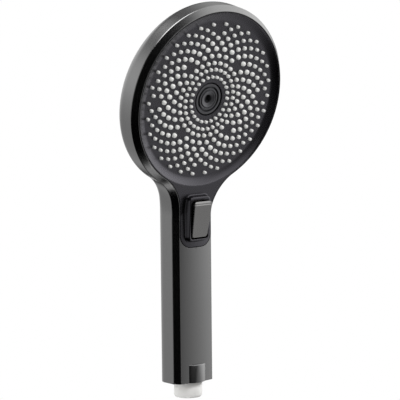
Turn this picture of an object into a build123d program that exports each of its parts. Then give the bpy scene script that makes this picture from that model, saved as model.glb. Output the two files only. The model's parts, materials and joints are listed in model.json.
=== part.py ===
from build123d import *
import os
from math import atan2, cos, degrees, radians, sin, sqrt, tan

# Handheld shower head. Millimetres. Origin: thread axis at the thread's upper end,
# foot_rise below the handle's foot.
# +X right, -Y the spray side, +Z up the handle.
os.makedirs("parts", exist_ok=True)

# ---- inlet: male G1/2, the size that fixes everything else
thread_radius = 10.478
thread_length = 11.7
nipple_round = 1.8
foot_rise = 0.3
plain_radius = 10.2
nipple_fit = 0.12
nipple_top = 12.2
shank_radius = 5.95
shank_top = 29.0
waterway_radius = 3.8
strainer_pocket = 7.4
strainer_depth = 4.6

# ---- handle
handle_width = 37.3
handle_front = 10.1
handle_back = 12.3
crown_rise = 1.0
crown_width = handle_width - 7.2
wall = 2.4
foot_block = 16.0
core_radius = 5.0
core_front = 7.7
core_half_width = handle_width / 2 - 2.55
bump_radius = 13.4
bump_height = 13.9

# ---- head, measured from the rim plane, which leans forward
tilt = radians(13.2)
face_forward = 29.4
face_height = 209.3
head_radius = 69.5
head_depth = 22.3
head_wedge = tan(radians(1.2))
neck_radius = 30.5
front_blend = 60.0
back_blend = 90.0
corner_round = 7.4
core_round = 5.0
bevel_front = 3.6
bevel_side = 4.3
beyond = 10.0

# ---- cover seat
lip = 0.35
seat_gap = 0.1
seat_depth = 2.6
ledge_width = 2.6
ledge_back = 4.9
tongue_round = 9.6

# ---- dish and nozzles
floor_depth = 3.0
floor_back = 5.2
floor_radius = head_radius - 11.1
dish_radius = head_radius - 4.9
boss_radius = head_radius - 6.8
nub_top = 0.75
nub_fit = 0.1
jet_radius = 0.45
insert_radius = 11.65
insert_gap = 0.75
# ring radius, nubs in the ring, phase in degrees, nub diameter, angles left out
first_ring = insert_radius + 5.25
last_ring = floor_radius - 2.4
spread = (last_ring - first_ring) / 39.1
ring_plan = [
    (0, 24, 0, 2.45, ()),
    (5.4, 30, 0, 2.8, ()),
    (10.3, 30, 6, 3.2, ()),
    (15.7, 30, 0, 3.45, (48, 132, 228, 312)),
    (20.8, 30, 6, 3.75, ()),
    (25.0, 30, 0, 3.45, ()),
    (28.8, 30, 6, 3.2, ()),
    (32.4, 30, 0, 2.9, (0, 180)),
    (35.9, 30, 6, 2.7, (90, 270)),
    (39.1, 30, 0, 2.55, ()),
]
rings = [(first_ring + spread * ring[0], *ring[1:]) for ring in ring_plan]

# ---- spray cartridge, depths behind the rim plane
mat_back = 6.6
plate_back = 8.6
walls_back = 11.8
gasket_back = 12.4
divider_back = 15.2
cartridge_radius = head_radius - 9.5
wall_between = rings[3][0] + 2.5
ring_walls = [(insert_radius + 1.55, insert_radius + 3.15), (wall_between - 0.9, wall_between + 0.9)]
ring_walls.append((cartridge_radius - 1.8, cartridge_radius))
post_radius = 2.15
post_back = 8.2
screw_radius = 1.0
screw_head = 2.0
swirl_radius = 5.0

# ---- valve in the neck: axis along the rim plane's normal
valve_down = -82.4
housing_radius = 12.0
housing_front = 3.4
housing_wall = 2.6
housing_bore = 9.8
rotor_radius = 9.6
rotor_front = 12.4
rotor_back = 14.9
duct_front = 15.2
duct_back = 19.5
port_circle = 5.2
port_radius = 1.4
seal_radius = 2.35
seal_depth = 0.8
channel_width = 2.8
channel_depth = 2.6
rod_radius = 2.5
running = 0.05

# ---- button
button_lean = radians(11.5)
button_low = face_height - 100.6
button_low_front = 15.0
button_length = 25.7
button_half_low = 6.8
button_half_high = 7.3
pin_height = button_low + 1.8
pin_forward = 11.5
pin_radius = 1.0
window_half = 7.8
window_low = button_low - 0.9
window_high = button_low + 27.2
collar_half = 10.6
collar_low = button_low - 3.4
collar_high = button_low + 30.9
collar_lean = radians(3.6)
pad_depth = -2.15
tongue_bottom = button_low - 8.0
crown_high = button_low + 23.3
seat_low = tongue_bottom - 10.7

face = Plane(origin=(0, -face_forward, face_height), x_dir=(1, 0, 0), z_dir=(0, -cos(tilt), -sin(tilt)))
face_axis = Axis(face.origin, face.z_dir)


def behind(depth):
    return face.offset(-depth)


def side_point(v, depth):
    return (-face_forward - v * sin(tilt) + depth * cos(tilt), face_height + v * cos(tilt) + depth * sin(tilt))


def ring_spots(radius, count, phase, left_out):
    step = 360 / count
    angles = [phase + step * k for k in range(count)]
    kept = [a for a in angles if min([abs(a - b) for b in left_out] + [99]) > 1]
    return [(radius * cos(radians(a)), radius * sin(radians(a))) for a in kept]


valve_ears = [(-13.6, -75.5), (13.6, -75.5)]
hook_angles = (10, 50, 90, 130, 170, 205, 335)
hook_sweep = 8
pin_half = 9.3
keeper_spots = [(-9.25, pin_height + 4.5), (9.25, pin_height + 4.5)]
keeper_screw = 0.9
keeper_thick = 1.3
tube_radius = 6.6
tube_socket = 6.0
tube_end_radius = 7.4
spigot_low = button_low - 0.7
tube_top = spigot_low + 9.5
tube_neck = spigot_low - 3
groove_radius = 4.9
groove_width = 1.6
nipple_groove = 24.5
spigot_groove = spigot_low + 2.5
spigot_reach = 16.0
# ports on the valve side, then where each channel ends at the chambers
low_ports = [(0, valve_down + port_circle)]
low_ports.append((-port_circle * cos(radians(30)), valve_down - port_circle / 2))
low_ports.append((port_circle * cos(radians(30)), valve_down - port_circle / 2))
high_ports = [(0, -45), (low_ports[1][0], -25), (low_ports[2][0], 0)]
post_spots = []
for ring in rings:
    for angle in ring[4]:
        post_spots.append((ring[0] * cos(radians(angle)), ring[0] * sin(radians(angle))))


def plan_prism(inset):
    drop = (face_height + beyond) / cos(tilt)
    with BuildPart() as solid:
        with BuildSketch(face) as plan:
            Circle(head_radius - inset)
            with Locations((0, -drop / 2)):
                Rectangle(handle_width - 2 * inset, drop)
            fillet(plan.vertices().sort_by(Axis.Y)[2:4], neck_radius + inset)
        extrude(amount=60, both=True)
    return solid.part


def side_slab(front, back, low):
    front_y = front - handle_front
    back_y = handle_back - back
    deep = head_depth - back
    v_front = (front * cos(tilt) - face_forward - front_y) / sin(tilt)
    v_back = (deep * cos(tilt) - face_forward - back_y) / (sin(tilt) + head_wedge * cos(tilt))
    v_top = head_radius + beyond
    with BuildPart() as slab:
        with BuildSketch(Plane.YZ) as view:
            with BuildLine():
                Polyline(
                    (front_y, low),
                    side_point(v_front, front),
                    side_point(v_top, front),
                    side_point(v_top, deep - head_wedge * v_top),
                    side_point(v_back, deep - head_wedge * v_back),
                    (back_y, low),
                    close=True,
                )
            make_face()
            fillet(view.vertices().sort_by(Axis.Y)[2:4].sort_by(Axis.X)[0], front_blend + front)
            heels = view.vertices().filter_by(lambda p: abs(p.X - back_y) < 0.01)
            fillet(heels.sort_by(Axis.Y)[-1], back_blend)
        extrude(amount=head_radius + beyond, both=True)
    return slab.part


def crown_pad(low, high):
    half = crown_width / 2
    with BuildPart() as pad:
        with BuildSketch(Plane.XY.offset(low)):
            with BuildLine():
                Line((-half, -handle_front + 0.5), (-half, -handle_front))
                ThreePointArc((-half, -handle_front), (0, -handle_front - crown_rise), (half, -handle_front))
                Line((half, -handle_front), (half, -handle_front + 0.5))
                Line((half, -handle_front + 0.5), (-half, -handle_front + 0.5))
            make_face()
        extrude(amount=high - low)
    return pad.part


def front_slab(near, far, low):
    v_top = head_radius + beyond
    with BuildPart() as slab:
        with BuildSketch(Plane.YZ) as view:
            with BuildLine():
                v_near = (near * cos(tilt) - face_forward - near + handle_front) / sin(tilt)
                v_far = (far * cos(tilt) - face_forward - far + handle_front) / sin(tilt)
                Polyline(
                    (near - handle_front, low),
                    side_point(v_near, near),
                    side_point(v_top, near),
                    side_point(v_top, far),
                    side_point(v_far, far),
                    (far - handle_front, low),
                    close=True,
                )
            make_face()
            bends = view.vertices().sort_by(Axis.Y)[2:4].sort_by(Axis.X)
            fillet(bends[0], front_blend + near)
            heels = view.vertices().filter_by(lambda p: abs(p.X - far + handle_front) < 0.01)
            fillet(heels.sort_by(Axis.Y)[-1], front_blend + far)
        extrude(amount=head_radius + beyond, both=True)
    return slab.part


def tongue_zone(inset):
    half = handle_width / 2 - bevel_front - lip - inset
    with BuildPart() as zone:
        with BuildSketch(Plane.XZ):
            with Locations((0, tongue_bottom + inset + 40)):
                RectangleRounded(2 * half, 80, tongue_round - inset)
            with Locations((0, tongue_bottom + 120)):
                Rectangle(160, 160)
        extrude(amount=70, both=True)
    return zone.part


# ================= body shell
with BuildPart() as outer:
    add(plan_prism(0))
    add(side_slab(0, 0, foot_rise), mode=Mode.INTERSECT)
    front_faces = outer.faces().filter_by(lambda f: f.normal_at(f.center()).Y < -0.5)
    rim = front_faces.sort_by(SortBy.AREA)[-1]
    rim_edge = rim.edges().sort_by(SortBy.LENGTH)[-1]
    chamfer(rim_edge, length=bevel_front, length2=bevel_side, reference=rim)
    back_faces = outer.faces().filter_by(lambda f: f.normal_at(f.center()).Y > 0.5)
    back_edge = back_faces.sort_by(SortBy.AREA)[-1].edges().sort_by(SortBy.LENGTH)[-1]
    fillet(back_edge, corner_round)

with BuildPart() as core:
    add(plan_prism(wall))
    add(side_slab(ledge_back, wall, seat_low - 2), mode=Mode.INTERSECT)
    back_faces = core.faces().filter_by(lambda f: f.normal_at(f.center()).Y > 0.5)
    back_edge = back_faces.sort_by(SortBy.AREA)[-1].edges().sort_by(SortBy.LENGTH)[-1]
    fillet(back_edge, core_round)

with BuildPart() as handle_core:
    with BuildSketch(Plane.XY.offset(foot_block)):
        middle = (handle_back - wall - core_front) / 2
        with Locations((0, middle)):
            RectangleRounded(2 * core_half_width, handle_back - wall + core_front, core_radius)
    extrude(amount=tongue_bottom - 2.7 - foot_block)

with BuildPart() as seat:
    add(plan_prism(bevel_front + lip))
    add(front_slab(-20, seat_depth, seat_low), mode=Mode.INTERSECT)
    add(tongue_zone(0), mode=Mode.INTERSECT)

with BuildPart() as ledge_hole:
    add(plan_prism(bevel_front + lip + ledge_width))
    add(front_slab(0, ledge_back + 2, seat_low), mode=Mode.INTERSECT)
    add(tongue_zone(ledge_width), mode=Mode.INTERSECT)

with BuildPart() as body_shell:
    add(outer.part)
    add(crown_pad(foot_rise, crown_high))
    add(core.part, mode=Mode.SUBTRACT)
    add(handle_core.part, mode=Mode.SUBTRACT)
    add(seat.part, mode=Mode.SUBTRACT)
    add(ledge_hole.part, mode=Mode.SUBTRACT)
    # the tube passes the ledge
    with BuildSketch(Plane.XY.offset(tube_neck - 9)):
        Circle(tube_end_radius + 0.5)
    extrude(amount=10, mode=Mode.SUBTRACT)
    # rib that marks the front at the foot
    with BuildSketch(Plane.XY.offset(foot_rise)):
        Circle(bump_radius)
        with Locations((0, 20 - handle_front + 1)):
            Rectangle(60, 40, mode=Mode.SUBTRACT)
    extrude(amount=bump_height - foot_rise)
    # stepped bore for the inlet
    with BuildSketch(Plane.XY):
        Circle(plain_radius + nipple_fit)
    extrude(amount=nipple_top, mode=Mode.SUBTRACT)
    with BuildSketch(Plane.XY):
        Circle(shank_radius + 0.15)
    extrude(amount=foot_block, mode=Mode.SUBTRACT)
    # bosses for the valve screws and pads that back the duct
    with BuildSketch(behind(duct_back)):
        with Locations(*valve_ears):
            Circle(2.8)
    extrude(amount=-3.2)
    with BuildSketch(behind(duct_back)):
        with Locations((0, -55), (0, -20)):
            Circle(4)
    extrude(amount=-2.2)
    with BuildSketch(behind(duct_back)):
        with Locations(*valve_ears):
            Circle(screw_radius)
    extrude(amount=-3.4, mode=Mode.SUBTRACT)
    body_shell.part.label = "body_shell"
export_step(body_shell.part, "parts/body_shell.step")

# ================= face cover
with BuildPart() as face_cover:
    add(plan_prism(bevel_front + lip + seat_gap))
    add(front_slab(0, seat_depth, seat_low), mode=Mode.INTERSECT)
    add(tongue_zone(seat_gap), mode=Mode.INTERSECT)
    with BuildPart(mode=Mode.PRIVATE) as crown:
        add(crown_pad(seat_low, crown_high))
        add(tongue_zone(seat_gap), mode=Mode.INTERSECT)
    add(crown.part)
    with BuildSketch(behind(floor_back)):
        Circle(boss_radius)
    extrude(amount=floor_back - 0.5)
    # dish
    with BuildSketch(Plane.YZ):
        with BuildLine():
            Polyline(side_point(0, floor_depth), side_point(floor_radius, floor_depth))
            ThreePointArc(
                side_point(floor_radius, floor_depth),
                side_point(floor_radius + 3.9, floor_depth - 0.9),
                side_point(dish_radius, 0.35),
            )
            Polyline(
                side_point(dish_radius, 0.35),
                side_point(dish_radius, -6),
                side_point(0, -6),
                side_point(0, floor_depth),
            )
        make_face()
    revolve(axis=face_axis, mode=Mode.SUBTRACT)
    # collar round the button
    with BuildPart(mode=Mode.PRIVATE) as collar:
        with BuildSketch(Plane.XZ.offset(handle_front - 1.5)):
            with Locations((0, (collar_low + collar_high) / 2)):
                RectangleRounded(2 * collar_half + 1.2, collar_high - collar_low + 1.2, 4)
        extrude(amount=12, taper=14)
        add(front_slab(-12, seat_depth - 0.1, seat_low), mode=Mode.INTERSECT)
    add(collar.part)
    crest = Plane(origin=(0, -14.6, collar_low), x_dir=(1, 0, 0), z_dir=(0, -cos(collar_lean), -sin(collar_lean)))
    with BuildSketch(crest):
        Rectangle(60, 120)
    extrude(amount=20, mode=Mode.SUBTRACT)
    with BuildSketch(Plane.XZ):
        with Locations((0, (window_low + window_high) / 2)):
            RectangleRounded(2 * window_half, window_high - window_low, 1.6)
    extrude(amount=40, both=True, mode=Mode.SUBTRACT)
    # nub holes, insert hole, screw posts
    for ring in rings:
        with BuildSketch(behind(floor_back)):
            with Locations(*ring_spots(ring[0], ring[1], ring[2], ring[4])):
                Circle(ring[3] / 2 + nub_fit)
        extrude(amount=floor_back, mode=Mode.SUBTRACT)
    with BuildSketch(behind(floor_back)):
        Circle(insert_radius + insert_gap)
    extrude(amount=floor_back, mode=Mode.SUBTRACT)
    with BuildSketch(behind(post_back)):
        with Locations(*post_spots):
            Circle(post_radius)
    extrude(amount=post_back - floor_back + 0.5)
    with BuildSketch(behind(post_back)):
        with Locations(*post_spots):
            Circle(screw_radius)
    extrude(amount=post_back - floor_back + 0.4, mode=Mode.SUBTRACT)
    # snap hooks behind the ledge
    for angle in hook_angles:
        with BuildSketch(behind(ledge_back + 1.5)):
            with BuildLine():
                near = angle - hook_sweep / 2
                far = angle + hook_sweep / 2
                CenterArc((0, 0), boss_radius + 1.1, near, hook_sweep)
                CenterArc((0, 0), cartridge_radius + 1, near, hook_sweep)
                Line((0, 0), (0, 1), mode=Mode.PRIVATE)
                for turn in (near, far):
                    c = cos(radians(turn))
                    w = sin(radians(turn))
                    inner = cartridge_radius + 1
                    outer_r = boss_radius + 1.1
                    Line((inner * c, inner * w), (outer_r * c, outer_r * w))
            make_face()
        extrude(amount=1.4)
    # seats for the hinge pin, open to the back, and pilots for their keepers
    for side in (-1, 1):
        with BuildSketch(Plane.YZ.offset(side * window_half)):
            with Locations((-pin_forward, pin_height)):
                Circle(pin_radius)
            with Locations((-pin_forward + 3, pin_height)):
                Rectangle(6, 2 * pin_radius)
        extrude(amount=side * (pin_half - window_half), mode=Mode.SUBTRACT)
    with BuildSketch(Plane.XZ.offset(handle_front - seat_depth)):
        with Locations(*keeper_spots):
            Circle(keeper_screw)
    extrude(amount=5, mode=Mode.SUBTRACT)
    face_cover.part.label = "face_cover"
export_step(face_cover.part, "parts/face_cover.step")

# ================= soft mat with the nubs
with BuildPart() as nozzle_mat:
    with BuildSketch(behind(mat_back)):
        Circle(cartridge_radius)
    extrude(amount=mat_back - floor_back)
    for ring in rings:
        spots = ring_spots(ring[0], ring[1], ring[2], ring[4])
        with BuildSketch(behind(mat_back - 0.4)):
            with Locations(*spots):
                Circle(ring[3] / 2)
        extrude(amount=mat_back - 0.4 - nub_top - 0.45)
        with BuildSketch(behind(nub_top + 0.45)):
            with Locations(*spots):
                Circle(ring[3] / 2)
        extrude(amount=0.45, taper=35)
        with BuildSketch(behind(mat_back)):
            with Locations(*spots):
                Circle(jet_radius)
        extrude(amount=mat_back, mode=Mode.SUBTRACT)
    with BuildSketch(behind(mat_back)):
        Circle(insert_radius + 2.0)
        with Locations(*post_spots):
            Circle(post_radius + 0.15)
    extrude(amount=mat_back, mode=Mode.SUBTRACT)
    nozzle_mat.part.label = "nozzle_mat"
export_step(nozzle_mat.part, "parts/nozzle_mat.step")

# ================= stiff plate with the chamber walls
with BuildPart() as spray_plate:
    with BuildSketch(behind(plate_back)):
        Circle(cartridge_radius)
    extrude(amount=plate_back - mat_back)
    for inner, far in ring_walls:
        with BuildSketch(behind(walls_back)):
            Circle(far)
            Circle(inner, mode=Mode.SUBTRACT)
        extrude(amount=walls_back - plate_back)
    with BuildSketch(behind(walls_back)):
        with Locations(*post_spots):
            Circle(2.7)
    extrude(amount=walls_back - plate_back)
    with BuildSketch(behind(walls_back)):
        with Locations(*post_spots):
            Circle(screw_radius + 0.1)
    extrude(amount=walls_back, mode=Mode.SUBTRACT)
    with BuildSketch(behind(post_back)):
        with Locations(*post_spots):
            Circle(post_radius + 0.15)
    extrude(amount=post_back, mode=Mode.SUBTRACT)
    for ring in rings:
        with BuildSketch(behind(walls_back)):
            with Locations(*ring_spots(ring[0], ring[1], ring[2], ring[4])):
                Circle(jet_radius + 0.1)
        extrude(amount=walls_back, mode=Mode.SUBTRACT)
    with BuildSketch(behind(plate_back - 0.6)):
        Circle(swirl_radius + 0.05)
    extrude(amount=4, mode=Mode.SUBTRACT)
    with BuildSketch(behind(plate_back)):
        Circle(swirl_radius - 1)
    extrude(amount=2, mode=Mode.SUBTRACT)
    spray_plate.part.label = "spray_plate"
export_step(spray_plate.part, "parts/spray_plate.step")

# ================= gasket on the chamber walls
with BuildPart() as chamber_gasket:
    with BuildSketch(behind(gasket_back)):
        for inner, far in ring_walls:
            with BuildSketch(behind(gasket_back), mode=Mode.PRIVATE) as hoop:
                Circle(far - 0.1)
                Circle(inner + 0.1, mode=Mode.SUBTRACT)
            add(hoop.sketch_local)
        with Locations(*post_spots):
            Circle(2.6)
        for angle in (48, 132, 228, 312):
            with Locations(Rotation(0, 0, angle)):
                with Locations((36.5, 0)):
                    Rectangle(45, 1.4)
        for angle in (0, 90, 180, 270):
            with Locations(Rotation(0, 0, angle)):
                with Locations((54.5, 0)):
                    Rectangle(9, 1.4)
        with Locations(*post_spots):
            Circle(screw_radius + 0.1, mode=Mode.SUBTRACT)
    extrude(amount=gasket_back - walls_back)
    chamber_gasket.part.label = "chamber_gasket"
export_step(chamber_gasket.part, "parts/chamber_gasket.step")

# ================= back plate of the chambers
with BuildPart() as flow_divider:
    with BuildSketch(behind(divider_back)):
        Circle(cartridge_radius)
        with Locations(*high_ports):
            Circle(port_radius, mode=Mode.SUBTRACT)
        with Locations(*post_spots):
            Circle(screw_radius + 0.1, mode=Mode.SUBTRACT)
    extrude(amount=divider_back - gasket_back)
    with BuildSketch(behind(divider_back)):
        with Locations(*post_spots):
            Circle(screw_head + 0.15)
    extrude(amount=1.6, mode=Mode.SUBTRACT)
    flow_divider.part.label = "flow_divider"
export_step(flow_divider.part, "parts/flow_divider.step")

# ================= screws from behind into the cover's posts
with BuildPart() as cartridge_screws:
    with BuildSketch(behind(divider_back - 0.1)):
        with Locations(*post_spots):
            Circle(screw_head)
    extrude(amount=1.5)
    with BuildSketch(behind(divider_back - 1.6)):
        with Locations(*post_spots):
            Circle(screw_radius)
    extrude(amount=divider_back - 1.6 - floor_back - 0.2)
    with BuildSketch(behind(divider_back - 0.1)):
        with Locations(*post_spots):
            RegularPolygon(1.0, 6)
    extrude(amount=0.8, mode=Mode.SUBTRACT)
    cartridge_screws.part.label = "cartridge_screws"
export_step(cartridge_screws.part, "parts/cartridge_screws.step")

# ================= centre outlet
with BuildPart() as centre_insert:
    with BuildSketch(behind(mat_back)):
        Circle(insert_radius + 1.8)
    extrude(amount=mat_back - floor_back)
    with BuildSketch(behind(floor_back)):
        Circle(insert_radius)
    extrude(amount=floor_back - floor_depth - 0.15)
    for inner, far, deep in ((9.45, 10.15, 0.9), (7.35, 7.75, 0.5)):
        with BuildSketch(behind(floor_depth + 0.15)):
            Circle(far)
            Circle(inner, mode=Mode.SUBTRACT)
        extrude(amount=-deep, mode=Mode.SUBTRACT)
    with BuildSketch(behind(floor_depth + 0.15)):
        Circle(7.35)
    extrude(amount=-0.25, mode=Mode.SUBTRACT)
    with BuildSketch(behind(floor_depth)):
        Circle(3.1)
    extrude(amount=-2.8, mode=Mode.SUBTRACT)
    with BuildSketch(behind(mat_back)):
        Circle(1.1)
    extrude(amount=3, mode=Mode.SUBTRACT)
    centre_insert.part.label = "centre_insert"
export_step(centre_insert.part, "parts/centre_insert.step")

with BuildPart() as swirl_disc:
    with BuildSketch(behind(plate_back - 0.6)):
        Circle(swirl_radius)
    extrude(amount=plate_back - 0.6 - mat_back)
    with BuildSketch(behind(mat_back)):
        Circle(3.6)
    extrude(amount=-0.5, mode=Mode.SUBTRACT)
    with BuildSketch(behind(plate_back)):
        with PolarLocations(2.6, 3):
            Circle(0.7)
    extrude(amount=3, mode=Mode.SUBTRACT)
    swirl_disc.part.label = "swirl_disc"
export_step(swirl_disc.part, "parts/swirl_disc.step")

# ================= duct from the valve to the chambers
with BuildPart() as feed_duct:
    with BuildSketch(behind(duct_back)):
        with Locations((0, (valve_down - 4.6) / 2)):
            RectangleRounded(18, 18.6 - valve_down, 4)
        with Locations(*valve_ears):
            Circle(3)
        with Locations((0, valve_ears[0][1])):
            Rectangle(2 * valve_ears[1][0], 5)
    extrude(amount=duct_back - duct_front)
    with BuildSketch(Plane.YZ):
        with Locations((handle_back - wall - 0.2 + 10, button_low + 6)):
            Rectangle(20, 60)
    extrude(amount=20, both=True, mode=Mode.SUBTRACT)
    for low, high in zip(low_ports, high_ports):
        with BuildSketch(behind(duct_front + 3.6)):
            with Locations((low[0], (low[1] + high[1]) / 2)):
                Rectangle(channel_width, high[1] - low[1] + channel_width)
        extrude(amount=channel_depth, mode=Mode.SUBTRACT)
    with BuildSketch(behind(duct_front + 1.5)):
        with Locations(*low_ports, *high_ports):
            Circle(port_radius)
    extrude(amount=3, mode=Mode.SUBTRACT)
    with BuildSketch(behind(duct_front + seal_depth)):
        with Locations(*low_ports, *high_ports):
            Circle(seal_radius)
    extrude(amount=3, mode=Mode.SUBTRACT)
    with BuildSketch(behind(duct_back)):
        with Locations(*valve_ears):
            Circle(screw_radius + 0.15)
    extrude(amount=8, mode=Mode.SUBTRACT)
    with BuildSketch(behind(duct_front + 2.6)):
        with Locations((0, valve_down)):
            Circle(1.5)
    extrude(amount=8, mode=Mode.SUBTRACT)
    feed_duct.part.label = "feed_duct"
export_step(feed_duct.part, "parts/feed_duct.step")

with BuildPart() as duct_seals:
    with BuildSketch(behind(duct_front + seal_depth)):
        with Locations(*high_ports):
            Circle(seal_radius)
            Circle(port_radius + 0.05, mode=Mode.SUBTRACT)
    extrude(amount=seal_depth)
    duct_seals.part.label = "duct_seals"
export_step(duct_seals.part, "parts/duct_seals.step")

with BuildPart() as port_seals:
    with BuildSketch(behind(duct_front + seal_depth)):
        with Locations(*low_ports):
            Circle(seal_radius)
            Circle(port_radius + 0.05, mode=Mode.SUBTRACT)
    extrude(amount=duct_front + seal_depth - rotor_back - 0.05)
    port_seals.part.label = "port_seals"
export_step(port_seals.part, "parts/port_seals.step")

# ================= valve housing with the inlet spigot
gland_front = housing_front + 0.7
gland_back = gland_front + 1.2
gland_radius = 3.7
with BuildPart() as diverter_housing:
    with BuildSketch(behind(duct_front)):
        with Locations((0, valve_down)):
            Circle(housing_radius)
    extrude(amount=duct_front - housing_front)
    with BuildSketch(behind(duct_front)):
        with Locations(*valve_ears):
            Circle(3)
        with Locations((0, valve_ears[0][1])):
            Rectangle(2 * valve_ears[1][0], 5)
    extrude(amount=3.2)
    with BuildSketch(Plane.XY.offset(spigot_low)):
        Circle(shank_radius)
    extrude(amount=spigot_reach)
    with BuildSketch(behind(duct_front)):
        with Locations((0, valve_down)):
            Circle(housing_bore)
    extrude(amount=duct_front - housing_front - housing_wall, mode=Mode.SUBTRACT)
    with BuildSketch(Plane.XY.offset(spigot_low)):
        Circle(waterway_radius)
    extrude(amount=spigot_reach + 2, mode=Mode.SUBTRACT)
    with BuildSketch(Plane.XY.offset(spigot_groove)):
        Circle(shank_radius + 1)
        Circle(groove_radius, mode=Mode.SUBTRACT)
    extrude(amount=groove_width, mode=Mode.SUBTRACT)
    with BuildSketch(behind(duct_front)):
        with Locations((0, valve_down)):
            Circle(rod_radius + running)
    extrude(amount=duct_front, mode=Mode.SUBTRACT)
    with BuildSketch(behind(gland_back)):
        with Locations((0, valve_down)):
            Circle(gland_radius)
    extrude(amount=gland_back - gland_front, mode=Mode.SUBTRACT)
    with BuildSketch(behind(duct_front)):
        with Locations(*valve_ears):
            Circle(screw_radius + 0.15)
    extrude(amount=5, mode=Mode.SUBTRACT)
    diverter_housing.part.label = "diverter_housing"
export_step(diverter_housing.part, "parts/diverter_housing.step")

with BuildPart() as housing_screws:
    with BuildSketch(behind(duct_front - 3.2)):
        with Locations(*valve_ears):
            Circle(screw_head)
    extrude(amount=1.6)
    with BuildSketch(behind(duct_front - 3.2)):
        with Locations(*valve_ears):
            Circle(screw_radius)
    extrude(amount=-(duct_back + 2.9 - duct_front + 3.2))
    with BuildSketch(behind(duct_front - 4.8)):
        with Locations(*valve_ears):
            RegularPolygon(1.0, 6)
    extrude(amount=-0.8, mode=Mode.SUBTRACT)
    housing_screws.part.label = "housing_screws"
export_step(housing_screws.part, "parts/housing_screws.step")

# ================= rotor, its spindle, the rod and its seal
with BuildPart() as diverter_rotor:
    with BuildSketch(behind(rotor_back)):
        with Locations((0, valve_down)):
            Circle(rotor_radius)
    extrude(amount=rotor_back - rotor_front)
    with BuildSketch(behind(rotor_front)):
        with Locations((0, valve_down)):
            with PolarLocations(4.4, 6):
                Rectangle(2.2, 1.6)
    extrude(amount=0.9)
    with BuildSketch(behind(rotor_back)):
        with Locations(low_ports[0]):
            Circle(port_radius)
    extrude(amount=6, mode=Mode.SUBTRACT)
    with BuildSketch(behind(rotor_back)):
        with Locations((0, valve_down)):
            Circle(1.5 + running)
    extrude(amount=6, mode=Mode.SUBTRACT)
    diverter_rotor.part.label = "diverter_rotor"
export_step(diverter_rotor.part, "parts/diverter_rotor.step")

with BuildPart() as rotor_spindle:
    with BuildSketch(behind(duct_front + 2.6)):
        with Locations((0, valve_down)):
            Circle(1.5)
    extrude(amount=duct_front + 2.6 - rotor_front + 0.7)
    rotor_spindle.part.label = "rotor_spindle"
export_step(rotor_spindle.part, "parts/rotor_spindle.step")

with BuildPart() as plunger:
    with BuildSketch(behind(9.0)):
        with Locations((0, valve_down)):
            Circle(rod_radius)
    extrude(amount=10.0)
    with BuildSketch(behind(9.0)):
        with Locations((0, valve_down)):
            Circle(5.4)
    extrude(amount=1.2)
    with BuildSketch(behind(9.0)):
        with Locations((0, valve_down)):
            with PolarLocations(4.2, 6):
                Rectangle(1.2, 1.4)
    extrude(amount=0.5, mode=Mode.SUBTRACT)
    plunger.part.label = "plunger"
export_step(plunger.part, "parts/plunger.step")

with BuildPart() as plunger_cap:
    with BuildSketch(behind(-1.0)):
        with Locations((0, valve_down)):
            Circle(3.4)
    extrude(amount=1.0, taper=70)
    with BuildSketch(behind(0)):
        with Locations((0, valve_down)):
            Circle(4.3)
            Circle(rod_radius, mode=Mode.SUBTRACT)
    extrude(amount=1.0)
    plunger_cap.part.label = "plunger_cap"
export_step(plunger_cap.part, "parts/plunger_cap.step")

with BuildPart() as plunger_seal:
    with BuildSketch(behind(gland_back)):
        with Locations((0, valve_down)):
            Circle(gland_radius)
            Circle(rod_radius + 0.02, mode=Mode.SUBTRACT)
    extrude(amount=gland_back - gland_front)
    plunger_seal.part.label = "plunger_seal"
export_step(plunger_seal.part, "parts/plunger_seal.step")

spring_wire = 0.3
spring_seat = behind(housing_front - spring_wire).location.position + face.y_dir * valve_down
spring_high = housing_front - 2 * spring_wire
with BuildPart() as button_spring:
    with BuildLine():
        coil = Helix(
            pitch=spring_high / 2.5,
            height=spring_high,
            radius=4.3,
            center=spring_seat,
            direction=face.z_dir,
            cone_angle=-15,
        )
    with BuildSketch(Plane(origin=coil @ 0, z_dir=coil % 0)):
        Circle(spring_wire - 0.02)
    sweep(is_frenet=True)
    button_spring.part.label = "button_spring"
export_step(button_spring.part, "parts/button_spring.step")

# ================= button, pin and keepers
button_face = Plane(
    origin=(0, -button_low_front, button_low),
    x_dir=(1, 0, 0),
    z_dir=(0, -cos(button_lean), -sin(button_lean)),
)


def pad_line(height):
    return -face_forward + pad_depth * cos(tilt) - tan(tilt) * (height - face_height - pad_depth * sin(tilt))


with BuildPart() as mode_button:
    with BuildSketch(button_face):
        with BuildLine():
            Polyline(
                (-button_half_low, -2),
                (button_half_low, -2),
                (button_half_high, button_length + 2),
                (-button_half_high, button_length + 2),
                close=True,
            )
        make_face()
    extrude(amount=14, both=True)
    with BuildSketch(Plane.YZ):
        with BuildLine():
            high = button_low + button_length
            tip = button_length - 0.5
            Polyline(
                (-button_low_front, button_low),
                (-button_low_front - tip * sin(button_lean), button_low + tip * cos(button_lean)),
                (-button_low_front - tip * sin(button_lean) + 0.8, high),
                (pad_line(high), high),
                (pad_line(button_low), button_low),
                close=True,
            )
        make_face()
    extrude(amount=20, both=True, mode=Mode.INTERSECT)
    front = mode_button.faces().filter_by(lambda f: f.normal_at(f.center()).Y < -0.9)
    fillet(front.sort_by(SortBy.AREA)[-1].edges(), 0.8)
    with BuildSketch(Plane.YZ):
        with Locations((-pin_forward, pin_height)):
            Circle(pin_radius + running)
    extrude(amount=20, both=True, mode=Mode.SUBTRACT)
    mode_button.part.label = "mode_button"
export_step(mode_button.part, "parts/mode_button.step")

with BuildPart() as button_pin:
    with BuildSketch(Plane.YZ):
        with Locations((-pin_forward, pin_height)):
            Circle(pin_radius)
    extrude(amount=pin_half, both=True)
    button_pin.part.label = "button_pin"
export_step(button_pin.part, "parts/button_pin.step")

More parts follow.
